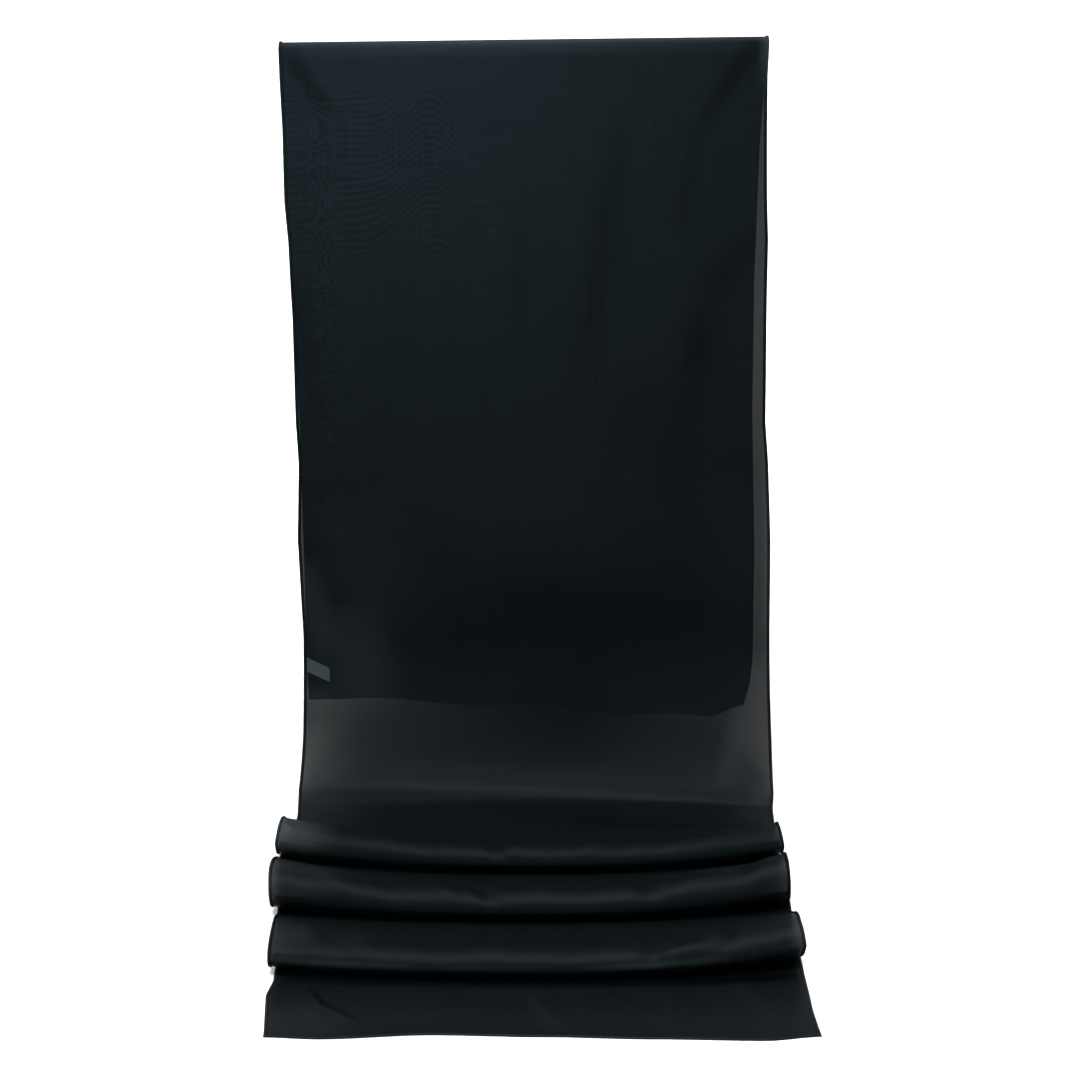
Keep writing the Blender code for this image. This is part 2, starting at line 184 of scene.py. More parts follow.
# Lines on the flat cloth, each from one place to another and fading out aside and at its ends.
# Places run along the stretch as in EDGES, and across it in widths from the cloth's middle.
# A crease stands out from the cloth by its height, and is a trough below zero.
Crease = namedtuple("Crease", "stretch from_place from_across to_place to_across "
                              "half_width height")
CREASES = (
    # Long soft ridges that the solids share
    Crease("front_panel", 0.00, 0.45, 0.71, 0.22, 0.030, 0.0022),
    Crease("front_panel", 0.11, 0.18, 0.47, 0.12, 0.024, 0.0014),
    Crease("front_panel", 0.00, -0.30, 0.86, -0.40, 0.040, 0.0018),
    Crease("front_panel", 0.21, -0.05, 0.94, -0.02, 0.050, 0.0012),
    # Flat creases left by how the scarf was folded away
    Crease("front_panel", 0.70, -0.46, 0.74, -0.09, 0.0030, 0.00022),
    Crease("front_panel", 0.74, -0.16, 0.71, 0.50, 0.0030, 0.00022),
    Crease("front_panel", 0.41, -0.34, 0.44, 0.10, 0.0030, 0.00020),
    Crease("front_panel", 0.44, 0.06, 0.40, 0.45, 0.0030, 0.00020),
    Crease("front_panel", 0.69, -0.14, 0.74, -0.11, 0.0030, 0.00030),
    Crease("front_panel", 0.69, -0.08, 0.74, -0.11, 0.0030, 0.00030),
    Crease("back_panel", 0.30, -0.45, 0.27, 0.10, 0.0030, 0.00025),
    Crease("back_panel", 0.27, 0.02, 0.29, 0.47, 0.0030, 0.00025),
    Crease("back_panel", 0.62, -0.40, 0.60, 0.30, 0.0030, 0.00020),
    # Pinches and swells of the first fold
    Crease("fold_1", 1.40, -0.105, 2.90, -0.060, 0.0095, -0.0024),
    Crease("fold_1", 1.90, -0.015, 2.80, -0.035, 0.0130, 0.0010),
    Crease("fold_1", 1.80, 0.135, 2.80, 0.105, 0.0110, 0.0013),
    Crease("fold_1", 1.50, 0.165, 2.80, 0.180, 0.0100, -0.0010),
    Crease("fold_1", 1.50, 0.245, 2.80, 0.260, 0.0150, -0.0008),
    Crease("fold_1", 1.60, 0.400, 2.70, 0.360, 0.0170, 0.0008),
    Crease("fold_1", 1.50, -0.330, 2.80, -0.280, 0.0160, 0.0010),
    Crease("fold_1", 1.50, -0.220, 2.80, -0.200, 0.0150, -0.0009),
    # of the second one
    Crease("fold_2", 1.45, -0.155, 2.90, -0.062, 0.0110, -0.0032),
    Crease("fold_2", 1.80, -0.190, 2.90, -0.145, 0.0130, 0.0015),
    Crease("fold_2", 1.60, 0.030, 2.90, 0.010, 0.0160, 0.0012),
    Crease("fold_2", 1.50, 0.100, 2.85, 0.110, 0.0140, -0.0008),
    Crease("fold_2", 1.50, 0.175, 2.85, 0.240, 0.0120, -0.0030),
    Crease("fold_2", 1.60, 0.340, 2.80, 0.300, 0.0180, 0.0013),
    Crease("fold_2", 1.40, 0.430, 2.90, 0.395, 0.0170, -0.0018),
    Crease("fold_2", 1.70, -0.400, 2.80, -0.350, 0.0190, 0.0018),
    Crease("fold_2", 1.50, -0.300, 2.80, -0.250, 0.0150, -0.0012),
    # and of the third
    Crease("fold_3", 1.20, 0.160, 3.00, 0.224, 0.0120, -0.0034),
    Crease("fold_3", 2.70, 0.225, 2.10, 0.345, 0.0120, 0.0018),
    Crease("fold_3", 1.60, 0.340, 2.90, 0.362, 0.0120, -0.0013),
    Crease("fold_3", 1.30, 0.340, 1.95, 0.500, 0.0060, 0.0013),
    Crease("fold_3", 1.60, -0.300, 2.80, -0.330, 0.0150, 0.0011),
    Crease("fold_3", 1.50, -0.200, 2.80, -0.180, 0.0160, -0.0009),
    Crease("fold_3", 1.70, -0.060, 2.80, -0.090, 0.0170, 0.0010),
    Crease("fold_3", 1.50, 0.080, 2.80, 0.060, 0.0160, -0.0009),
    Crease("fold_3", 1.40, -0.440, 2.80, -0.410, 0.0140, 0.0012),
    # Creases of the flat end
    Crease("front_end", 0.38, -0.430, 0.66, -0.390, 0.0060, 0.0010),
    Crease("front_end", 0.58, -0.400, 0.82, -0.330, 0.0065, 0.0009),
    Crease("front_end", 0.40, -0.015, 0.85, 0.035, 0.0050, 0.0006),
    Crease("front_end", 0.30, 0.110, 0.80, 0.215, 0.0060, 0.0006),
    Crease("front_end", 0.25, 0.390, 0.75, 0.420, 0.0070, 0.0007),
)

# Painted light and shade on the cloth: its tone, 1 for its own colour, is raised where light or
# a highlight would fall and lowered where shade would lie, and its sheerness is raised or lowered
# so that more or less of the pale table shows through.
Shade = namedtuple("Shade", "stretch from_place from_across to_place to_across "
                            "half_width tone sheer")
SHEER = 0.014             # share of light that goes straight through the plain cloth
LEAST_SHEER = 0.002
LEAST_TONE = 0.2
SHADES = (
    # Painted shade: soft dark bands of the hanging stretches, and a painted shadow along the back
    # hem
    Shade("front_panel", -0.04, 0.50, 0.15, 0.35, 0.013, -0.46, 0.0),
    Shade("front_panel", 0.13, 0.36, 0.32, 0.31, 0.013, -0.28, 0.0),
    Shade("front_panel", 0.10, 0.20, 0.60, 0.10, 0.020, -0.28, 0.0),
    Shade("front_panel", 0.29, 0.50, 0.42, 0.36, 0.020, -0.34, 0.0),
    Shade("front_panel", 0.42, 0.36, 0.56, 0.34, 0.015, -0.30, 0.0),
    Shade("front_panel", 0.38, 0.42, 0.78, 0.27, 0.026, -0.22, 0.0),
    Shade("front_panel", 0.36, -0.50, 0.64, -0.45, 0.016, -0.25, 0.0),
    Shade("front_panel", 0.22, -0.01, 0.50, -0.03, 0.010, -0.14, 0.0),
    Shade("front_panel", 0.50, 0.28, 0.78, 0.12, 0.018, -0.14, 0.0),
    Shade("front_panel", 0.78, -0.50, 0.97, -0.41, 0.018, -0.18, 0.0),
    Shade("front_panel", -0.02, -0.50, 0.11, -0.40, 0.012, -0.40, 0.0),
    Shade("front_panel", 0.92, -0.10, 0.97, 0.52, 0.020, -0.14, 0.0),
    Shade("back_panel", 0.03, -0.20, 0.03, 0.50, 0.016, -0.30, 0.0),
    # Painted light on the back stretch's right edge, which shows beside the front one, and more
    # sheerness there
    Shade("back_panel", 0.25, 0.50, 1.10, 0.50, 0.009, 6.0, 0.022),
    # Painted light: paler low down and at the right edge, with more sheerness there, and a
    # painted highlight over the rod
    Shade("front_panel", 0.75, -0.42, 1.02, -0.30, 0.060, 0.40, 0.0),
    Shade("front_panel", 0.94, -0.42, 1.14, -0.34, 0.042, 1.30, 0.0),
    Shade("front_panel", 0.66, 0.00, 0.92, 0.05, 0.150, 0.24, 0.0),
    Shade("front_panel", 0.86, -0.50, 1.04, -0.45, 0.022, 1.30, 0.0),
    Shade("front_panel", 0.64, 0.505, 1.12, 0.505, 0.010, 1.60, 0.010),
    Shade("top_bend", -0.50, 0.00, 1.50, 0.00, 0.300, 0.75, 0.0),
    Shade("front_panel", 0.70, 0.44, 1.00, 0.46, 0.050, 0.25, 0.0),
    # The curve to the table: painted light towards its side hems and before the first fold,
    # painted highlights along the curve, and painted shade, with less sheerness, in its middle
    # and at the first fold's foot
    Shade("foot", 0.00, -0.50, 0.75, -0.49, 0.060, 0.20, 0.010),
    Shade("foot", 0.30, -0.51, 0.82, -0.46, 0.050, 0.50, 0.014),
    Shade("foot", 0.05, 0.50, 0.75, 0.49, 0.042, 0.30, 0.020),
    Shade("foot", -0.45, 0.00, 0.85, 0.05, 0.165, -0.08, -0.013),
    Shade("foot", 0.50, -0.45, 0.60, 0.55, 0.017, 0.40, 0.0),
    Shade("foot", 0.66, 0.46, 0.98, 0.49, 0.034, 1.10, 0.0),
    Shade("foot", 0.66, -0.46, 1.02, -0.47, 0.060, 1.05, 0.0),
    Shade("foot", 0.08, 0.02, 0.50, 0.12, 0.065, -0.24, 0.0),
    Shade("foot", 0.80, -0.10, 1.10, 0.42, 0.030, -0.30, 0.0),
    Shade("foot", 0.55, -0.54, 0.72, 0.57, 0.0085, 1.30, 0.0),
    Shade("foot", 0.67, -0.56, 0.70, 0.57, 0.0075, 0.90, 0.0),
    Shade("foot", 0.48, 0.52, 0.74, 0.46, 0.0160, 1.30, 0.0),
    Shade("foot", 0.24, 0.445, 0.62, 0.385, 0.0140, 1.00, 0.002),
    Shade("foot", 0.18, -0.52, 0.22, -0.43, 0.0120, 1.00, 0.0),
    # The folds' ends and undersides, and the third fold's fine lines at the right: painted light
    # on the ends and on the shaded undersides, painted highlights along the fine lines and a
    # painted shade beside them
    Shade("fold_1", 1.60, -0.50, 3.60, -0.47, 0.042, 4.80, 0.0),
    Shade("fold_1", 1.60, 0.50, 3.00, 0.49, 0.018, 0.45, 0.0),
    Shade("fold_2", 1.80, -0.50, 3.60, -0.495, 0.0085, 2.40, 0.0),
    Shade("fold_2", 1.30, -0.45, 2.40, -0.36, 0.030, 0.45, 0.0),
    Shade("fold_2", 1.90, 0.47, 3.00, 0.48, 0.014, 0.40, 0.0),
    Shade("fold_3", 1.90, 0.495, 3.30, 0.495, 0.0085, 2.40, 0.0),
    Shade("fold_3", 1.50, -0.50, 3.20, -0.48, 0.016, 0.60, 0.0),
    Shade("fold_3", 2.90, -0.56, 2.90, -0.22, 0.0042, 1.60, 0.0),
    Shade("fold_3", 2.86, -0.30, 2.86, 0.04, 0.0040, 0.50, 0.0),
    Shade("fold_3", 2.92, 0.08, 2.92, 0.36, 0.0042, 1.80, 0.0),
    Shade("fold_3", 1.00, 0.385, 1.78, 0.418, 0.0022, 0.90, 0.0),
    Shade("fold_3", 1.78, 0.418, 2.00, 0.500, 0.0022, 1.10, 0.0),
    Shade("fold_3", 1.30, 0.440, 1.86, 0.500, 0.0060, -0.25, 0.0),
    Shade("fold_1", 3.08, -0.58, 3.08, 0.60, 0.0040, 0.50, 0.0),
    Shade("fold_2", 3.08, -0.58, 3.08, 0.60, 0.0040, 0.50, 0.0),
    Shade("fold_3", 3.10, -0.58, 3.10, 0.60, 0.0040, 0.70, 0.0),
    # The flat end: a painted shadow beside the third fold, painted shade along its creases,
    # painted light at its hems, and soft patches of painted light and shade across it
    Shade("front_end", 0.18, 0.24, 0.30, 0.52, 0.022, -0.50, 0.0),
    Shade("front_end", 1.01, -0.60, 1.01, 0.60, 0.0045, 3.00, 0.0),
    Shade("front_end", -0.20, -0.50, 1.20, -0.50, 0.0055, 2.00, 0.0),
    Shade("front_end", -0.20, 0.50, 1.20, 0.50, 0.0050, 2.40, 0.0),
    Shade("front_end", 0.80, -0.60, 0.80, 0.60, 0.040, 0.50, 0.0),
    Shade("front_end", 0.60, -0.50, 1.05, -0.40, 0.045, 0.70, 0.0),
    Shade("front_end", 0.27, -0.60, 0.27, 0.62, 0.0100, -0.60, 0.0),
    Shade("front_end", 0.34, -0.425, 0.66, -0.380, 0.0050, -0.55, 0.0),
    Shade("front_end", 0.54, -0.393, 0.80, -0.325, 0.0050, -0.55, 0.0),
    Shade("front_end", 0.50, -0.450, 0.90, -0.385, 0.0090, 0.50, 0.0),
    Shade("front_end", 0.25, -0.030, 0.98, 0.035, 0.0110, 0.30, 0.0),
    Shade("front_end", 0.30, 0.120, 0.95, 0.190, 0.0130, -0.22, 0.0),
    Shade("front_end", 0.15, 0.350, 0.90, 0.430, 0.0110, 0.25, 0.0),
    Shade("front_end", 0.30, 0.250, 0.80, 0.330, 0.0160, -0.16, 0.0),
)

LABEL_LENGTH = 0.0176
LABEL_HEIGHT = 0.0112
LABEL_FALL = 0.0085       # how far its free end droops
LABEL_DROP = 0.4670       # rod's axis down to its upper sewn corner
LABEL_ACROSS = -0.4999    # its sewn end, in widths from the cloth's middle
LABEL_WALL = 0.0004
LABEL_OFF = 0.0009        # clear of the back stretch
LABEL_CURL = 0.0008       # how much further its free end stands off
LABEL_COLUMNS = 15
LABEL_ROWS = 9
LABEL_SHARP_ANGLE = 40.0  # degrees

HEM_INSET = 0.0011        # from the sheet's edge in to the middle of the roll
HEM_HALF_WIDTH = 0.0012
HEM_HALF_THICKNESS = 0.0007
HEM_OUT = 0.0002          # the roll lies on the outer side of the cloth
HEM_SIDES = 8

FLOOR_SIZE = 60.0

# ---------------------------------------------------------------------------
# The finishes' values. Swells are counted to a metre along each axis of a map, tones are
# factors of a colour from its least to its most, and a relief is the height of a bump.
# ---------------------------------------------------------------------------

SILK_COLOUR = (0.0018, 0.0031, 0.0038)
# Painted light: the paler colour that a tone above 1 adds
SILK_PAINTED_LIGHT = (0.0026, 0.0033, 0.0037)    # what a tone above 1 adds
SILK_ROUGHNESS = 0.42
SILK_GLOSS = 0.05
SILK_RELIEF = 0.00003
THREAD = 0.00045          # from one thread to the next
SLUB_SWELLS = (1000.0, 16.0)     # aside and along a thicker thread
SLUB_DEPTH = 0.50         # how much the thicker threads differ in colour
SLUB_HEIGHT = 2.0         # and in height, as a multiple of the weave's

# Fine lines high on the front stretch, where its weave and the back one's cross
MOIRE_DEPTH = 0.14
MOIRE_LINES = 195.0       # lines to a metre down the cloth, before they bend
MOIRE_BEND = 4.0          # how many lines a soft swell takes in
MOIRE_BEND_SWELLS = (9.0, 13.0)
MOIRE_ARCH = (0.108, 0.027)      # middle and half width of nested arches, from the left hem
MOIRE_ARCH_LINES = 6.0
MOIRE_RINGS = (0.026, 0.014)     # middle and half width of a column of rings
MOIRE_RING_LINES = 13.0
MOIRE_RING_SWELLS = (38.0, 30.0)
MOIRE_RING_DEPTH = 1.3           # as a multiple of the arches'
# Each pair is a distance where the lines are gone and one where they are whole: from the left
# hem, and then down from the rod
MOIRE_RIGHT_FADE = (0.160, 0.120)
MOIRE_TOP_FADE = (0.02, 0.04)
MOIRE_ARCH_FADE = (0.21, 0.12)
MOIRE_RING_FADE = (0.42, 0.34)

STITCH = 0.0042           # from one stitch of the rolled hem to the next
STITCH_SLANT = 0.5        # its run along the hem, as a share of its way around it
STITCH_SHARPNESS = 8.0
HEM_SWELLS = (260.0, 400.0)
HEM_TONES = (0.65, 1.15)
HEM_RELIEF = 0.00025

LABEL_COLOUR = (0.62, 0.66, 0.68)
LABEL_ROUGHNESS = 0.7
# The label's glow is painted light
LABEL_PAINTED_GLOW_COLOUR = (0.70, 0.92, 1.0, 1.0)
LABEL_PAINTED_GLOW = 2.3
LABEL_THREAD = 0.0007
LABEL_SWELLS = (500.0, 900.0)
LABEL_TONES = (0.85, 1.15)
LABEL_RELIEF = 0.0001

ROD_COLOUR = (0.80, 0.80, 0.79)
ROD_ROUGHNESS = 0.35
ROD_SWELLS = (6.0, 900.0)
ROD_TONES = (0.96, 1.04)
ROD_RELIEF = 0.00002

FLOOR_COLOUR = (0.9, 0.9, 0.9, 1.0)
FLOOR_ROUGHNESS = 0.8
WHITE = (1.0, 1.0, 1.0, 1.0)

BUMP_STRENGTH = 0.5
NOISE_DETAIL = 1.0
FINE_DETAIL = 2.0

# ---------------------------------------------------------------------------
# Camera
# ---------------------------------------------------------------------------

PHOTO_SIDE = 1080         # pixels
FOCAL_PIXELS = 3700
SENSOR_WIDTH = 36.0       # mm
CAMERA_PLACE = (0.0116, -2.690, 0.373)
CAMERA_DIP = 15.5         # degrees below the horizon
CAMERA_REACH = 100.0


def make_camera():
    data = bpy.data.cameras.new("camera")
    data.sensor_width = SENSOR_WIDTH
    data.lens = FOCAL_PIXELS / PHOTO_SIDE * SENSOR_WIDTH
    data.clip_end = CAMERA_REACH
    camera = bpy.data.objects.new("camera", data)
    camera.location = CAMERA_PLACE
    camera.rotation_euler = (math.radians(90.0 - CAMERA_DIP), 0.0, 0.0)
    bpy.context.scene.collection.objects.link(camera)
    bpy.context.scene.camera = camera


# ---------------------------------------------------------------------------
# The sheet's middle surface
# ---------------------------------------------------------------------------

def even(count, first=0.0, last=1.0):
    return np.linspace(first, last, count)


def smooth(value):
    """Eased step from 0 to 1."""
    t = np.clip(value, 0.0, 1.0)
    return t * t * (3.0 - 2.0 * t)


ACROSS = 0.5 * np.sin(COLUMN_CROWDING * even(COLUMNS, -1.0, 1.0)) / math.sin(COLUMN_CROWDING)


def read_line(points):
    """Distance of a hem line at each column, on a smooth curve through its points."""
    distance = np.full(COLUMNS, points[0].distance)
    for low, high in zip(points, points[1:]):
        share = (ACROSS - low.across) / (high.across - low.across)
        distance += (high.distance - low.distance) * smooth(share)
    return distance


def gathered(middle, left, right, power):
    """A value that changes by left or right towards that end of the cloth's width."""
    toward_left = np.maximum(0.0, -2.0 * ACROSS) ** power
    toward_right = np.maximum(0.0, 2.0 * ACROSS) ** power
    return middle + left * toward_left + right * toward_right


# Each function gives the places of its rows, and y and z for every row and column

def back_rows():
    place = even(BACK_ROWS)
    share = 1.0 - place[:, None]
    wave = 0.5 - 0.5 * np.cos(2.0 * math.pi * BACK_WAVES * (ACROSS + 0.5))
    swing = BACK_SWING * smooth((ACROSS - BACK_SWING_START) / BACK_SWING_WIDTH)
    y = BEND_RADIUS + share * BACK_WAVE_DEPTH * wave + share * share * swing
    return place, y, -share * read_line(BACK_HEM)


def bend_rows():
    place = even(BEND_ROWS)
    turned = math.pi * place[:, None] + np.zeros(COLUMNS)
    return place, BEND_RADIUS * np.cos(turned), BEND_RADIUS * np.sin(turned)


def front_rows():
    place = even(FRONT_ROWS)
    drop = place[:, None] * (DROP - FOOT_HEIGHT) + np.zeros(COLUMNS)
    return place, np.full(drop.shape, -BEND_RADIUS), -drop


def foot_rows():
    landing = gathered(FOOT_LANDING, FOOT_LEFT_REACH, FOOT_RIGHT_REACH, FOOT_POWER)
    back_handle = gathered(FOOT_BACK_HANDLE, FOOT_LEFT_EASE, 0.0, FOOT_POWER)
    handles = (
        (BEND_RADIUS, FOOT_HEIGHT - DROP),
        (BEND_RADIUS, FOOT_HEIGHT - DROP - FOOT_DOWN_HANDLE),
        (landing - back_handle, LYING),
        (landing, LYING),
    )
    t = even(FOOT_CURVE_ROWS)[:, None]
    weights = ((1 - t) ** 3, 3 * t * (1 - t) ** 2, 3 * t * t * (1 - t), t ** 3)
    forward = sum(w * point[0] for w, point in zip(weights, handles)) + np.zeros(COLUMNS)
    height = sum(w * point[1] for w, point in zip(weights, handles)) + np.zeros(COLUMNS)
    flat = even(FOOT_FLAT_ROWS)[1:, None]
    lying = landing + (FOOT_END - landing) * flat
    place = np.concatenate((t * FOOT_CURVE_SHARE,
                            FOOT_CURVE_SHARE + (1 - FOOT_CURVE_SHARE) * flat))[:, 0]
    return (place, -np.concatenate((forward, lying)),
            np.concatenate((height, np.full(lying.shape, LYING))))


def nose_of(fold):
    return gathered(fold.nose, -fold.left_pull, -fold.right_pull, PULL_POWER)


def turn_of(fold):
    """Forward distance of the back turn, where the return layer meets the next one."""
    return nose_of(fold) - fold.tuck


def fold_rows(index):
    fold = FOLDS[index]
    nose = nose_of(fold)
    turn = turn_of(fold)
    crest = nose - NOSE_DEPTH
    crest_height = LYING + gathered(fold.crest, fold.left_extra, fold.right_extra, RISE_POWER)
    under_height = UNDER_HEIGHT + gathered(0.0, HEM_ROOM, HEM_ROOM, HEM_ROOM_POWER)
    under_height = under_height + gathered(0.0, fold.left_lift, fold.right_lift, RISE_POWER)
    tip_height = under_height + TIP_SHARE * (crest_height - under_height)
    if index == 0:
        start = rise = np.full(COLUMNS, FOOT_END)
    else:
        start = turn_of(FOLDS[index - 1])
        rise = nose_of(FOLDS[index - 1]) - NOSE_DEPTH / 2

    places, forwards, heights = [], [], []

    def add(place, t, forward, height):
        places.append(place + t[:, 0])
        forwards.append(forward + np.zeros((len(t), COLUMNS)))
        heights.append(height + np.zeros((len(t), COLUMNS)))

    if index > 0:
        t = even(UNDER_RETURN_ROWS)[:-1, None]
        add(START, t, start + (rise - start) * t, LYING)
    run = crest - rise
    start_slope = gathered(RISE_START_SLOPE, RISE_LEFT_SLOPE, RISE_RIGHT_SLOPE, RISE_POWER)
    t = even(RISE_ROWS)[:, None]
    add(RISE, t, rise + run * t,
        LYING + (crest_height - LYING) * t * t * (3 - 2 * t)
        + start_slope * run * t * (1 - t) ** 2
        - RISE_END_SLOPE * run * t * t * (1 - t))
    t = even(NOSE_ROWS)[1:, None]
    turned = math.pi / 2 * t
    add(CREST, t, crest + NOSE_DEPTH * np.sin(turned),
        tip_height + (crest_height - tip_height) * np.cos(turned))
    add(TIP, t, crest + NOSE_DEPTH * np.cos(turned),
        tip_height - (tip_height - under_height) * np.sin(turned))
    t = even(RETURN_ROWS)[1:, None]
    add(UNDER, t, crest + (turn - crest) * t,
        under_height + (RETURN_HEIGHT - under_height) * smooth(t))
    radius = (RETURN_HEIGHT - LYING) / 2
    t = even(TURN_ROWS)[1:, None]
    add(TUCK, t, turn - radius * np.sin(math.pi * t),
        LYING + radius + radius * np.cos(math.pi * t))
    return np.concatenate(places), -np.concatenate(forwards), np.concatenate(heights)


def end_rows():
    start = turn_of(FOLDS[-1])
    place = even(END_ROWS)
    forward = start + (read_line(FRONT_HEM) - start) * place[:, None]
    return place, -forward, np.full(forward.shape, LYING)


STRETCHES = (
    ("back_panel", back_rows),
    ("top_bend", bend_rows),
    ("front_panel", front_rows),
    ("foot", foot_rows),
    ("fold_1", lambda: fold_rows(0)),
    ("fold_2", lambda: fold_rows(1)),
    ("fold_3", lambda: fold_rows(2)),
    ("front_end", end_rows),
)


def side_places(stretch, place):
    """X of every point of a stretch, between its two long edges."""
    rows = EDGES[stretch]
    places = [row.place for row in rows]
    left = np.interp(place, places, [row.left for row in rows])[:, None]
    right = np.interp(place, places, [row.right for row in rows])[:, None]
    return WIDTH * (left + (right - left) * (ACROSS + 0.5))


def facing(points):
    """Unit vectors out of the cloth's outer side."""
    out = np.cross(np.gradient(points, axis=0), np.gradient(points, axis=1))
    return out / np.linalg.norm(out, axis=2, keepdims=True)


def plain_sheet():
    """Points of the sheet before its creases, and each stretch's rows and their places."""
    points = []
    stretch_rows = {}
    count = 0
    for name, rows_of in STRETCHES:
        place, y, z = rows_of()
        grid = np.stack((side_places(name, place), y, z), axis=2)
        first = 1 if points else 0
        points.append(grid[first:])
        stretch_rows[name] = (np.arange(count - first, count - first + len(place)), place)
        count += len(place) - first
    points = np.concatenate(points)
    hung = np.clip(1.0 + points[:, :, 2] / (DROP - FOOT_HEIGHT), 0.0, 1.0)
    points[:, :, 2] += ROD_SLOPE * points[:, :, 0] * hung
    return points, stretch_rows


def path_lengths(points):
    """How far along the cloth each row is, on average, from the back hem."""
    steps = np.linalg.norm(np.diff(points, axis=0), axis=2).mean(axis=1)
    return np.concatenate(([0.0], np.cumsum(steps)))


def line_strength(line, path, stretch_rows):
    """How strongly a crease or shade acts on every point: 1 in its middle, 0 outside it."""
    rows, places = stretch_rows[line.stretch]
    stretch_path = path[rows]

    def flat_spot(place, across):
        low, high = stretch_path[0], stretch_path[-1]
        beyond = (place - np.clip(place, places[0], places[-1])) / (places[-1] - places[0])
        return np.array((np.interp(place, places, stretch_path) + beyond * (high - low),
                         across * WIDTH))

    start = flat_spot(line.from_place, line.from_across)
    run = flat_spot(line.to_place, line.to_across) - start
    to_path = path[:, None] - start[0]
    to_x = ACROSS[None, :] * WIDTH - start[1]
    along = (to_path * run[0] + to_x * run[1]) / (run @ run)
    aside = (to_x * run[0] - to_path * run[1]) / math.sqrt(run @ run)
    profile = 0.5 + 0.5 * np.cos(math.pi * np.clip(np.abs(aside) / line.half_width, 0.0, 1.0))
    return profile * np.sin(math.pi * np.clip(along, 0.0, 1.0)) ** LINE_END_POWER


def flutter(path, stretch_rows):
    """Small waves in the side edges, which die out where the cloth is held or lies."""
    moved = np.zeros((len(path), COLUMNS))
    at_edge = np.abs(2.0 * ACROSS) ** FLUTTER_POWER
    side = np.sign(ACROSS)
    for stretch in ("back_panel", "front_panel"):
        rows, places = stretch_rows[stretch]
        held = np.sin(math.pi * places)[:, None] ** FLUTTER_END_POWER
        waves = sum(np.sin(2.0 * math.pi * path[rows][:, None] / length + index + side)
                    for index, length in enumerate(FLUTTER_LENGTHS))
        moved[rows] = FLUTTER_DEPTH / len(FLUTTER_LENGTHS) * waves * held * at_edge
    return moved


def creased_sheet():
    points, stretch_rows = plain_sheet()
    path = path_lengths(points)
    height = flutter(path, stretch_rows)
    for crease in CREASES:
        height += crease.height * line_strength(crease, path, stretch_rows)
    points += facing(points) * height[:, :, None]
    points[:, :, 2] = np.maximum(points[:, :, 2], LYING)
    return points, path, stretch_rows


def shading(path, stretch_rows):
    """The cloth's tone and sheerness at every point, which carry its painted light and shade."""
    tone = np.ones((len(path), COLUMNS))
    sheer = np.full((len(path), COLUMNS), SHEER)
    for shade in SHADES:
        strength = line_strength(shade, path, stretch_rows)
        tone += shade.tone * strength
        sheer += shade.sheer * strength
    return np.maximum(tone, LEAST_TONE), np.maximum(sheer, LEAST_SHEER)


# ---------------------------------------------------------------------------
# Meshes
# ---------------------------------------------------------------------------

def place_mesh(name, vertices, faces, finish):
    mesh = bpy.data.meshes.new(name)
    mesh.from_pydata(np.asarray(vertices).tolist(), [], faces)
    mesh.materials.append(finish)
    mesh.shade_smooth()
    mesh.update()
    piece = bpy.data.objects.new(name, mesh)
    bpy.context.scene.collection.objects.link(piece)
    return piece


def grid_faces(row_count, column_count):
    corner = np.arange(row_count * column_count).reshape(row_count, column_count)
    faces = np.stack((corner[:-1, :-1], corner[1:, :-1], corner[1:, 1:], corner[:-1, 1:]), axis=2)
    return faces.reshape(-1, 4).tolist()


def add_map(piece, flat):
    """A UV map of the flat cloth in metres, from a place for each vertex."""
    layer = piece.data.uv_layers.new(name="cloth")
    corners = np.empty(len(piece.data.loops), dtype=np.int64)
    piece.data.loops.foreach_get("vertex_index", corners)
    layer.data.foreach_set("uv", flat.reshape(-1, 2)[corners].ravel())


def add_values(piece, name, values):
    """A named value for each vertex, which the finish reads."""
    attribute = piece.data.attributes.new(name, "FLOAT", "POINT")
    attribute.data.foreach_set("value", np.ascontiguousarray(values, dtype=np.float32).ravel())


def make_scarf(points, path, tone, sheer, finish):
    scarf = place_mesh("scarf", points.reshape(-1, 3), grid_faces(*points.shape[:2]), finish)
    across, along = np.meshgrid((ACROSS + 0.5) * WIDTH, path)
    add_map(scarf, np.stack((across, along), axis=2))
    # The tone and sheer values carry the cloth's painted light and shade
    add_values(scarf, "tone", tone)
    add_values(scarf, "sheer", sheer)
    return scarf


def border(shape):
    """Rows and columns of the sheet's edge, as a closed loop from the back hem's left end."""
    last_row, last_column = shape[0] - 1, shape[1] - 1
    rows = np.concatenate((np.zeros(last_column), np.arange(last_row),
                           np.full(last_column, last_row), np.arange(last_row, 0, -1)))
    columns = np.concatenate((np.arange(last_column), np.full(last_row, last_column),
                              np.arange(last_column, 0, -1), np.zeros(last_row)))
    return rows.astype(int), columns.astype(int)


def inward_from(points, rows, columns):
    """Directions along the cloth in from its edge, mitred at its four corners."""
    last_row, last_column = points.shape[0] - 1, points.shape[1] - 1
    inward = np.zeros((len(rows), 3))
    for at_edge, row_step, column_step in (
            (rows == 0, 1, 0), (rows == last_row, -1, 0),
            (columns == 0, 0, 1), (columns == last_column, 0, -1)):
        here = points[rows[at_edge], columns[at_edge]]
        step = points[rows[at_edge] + row_step, columns[at_edge] + column_step] - here
        inward[at_edge] += step / np.linalg.norm(step, axis=1, keepdims=True)
    return inward


def tube_faces(ring_count, sides):
    """Faces of a closed tube, its rings joined end to end."""
    faces = []
    for ring in range(ring_count):
        after = (ring + 1) % ring_count
        for side in range(sides):
            beside = (side + 1) % sides
            faces.append((ring * sides + side, ring * sides + beside,
                          after * sides + beside, after * sides + side))
    return faces


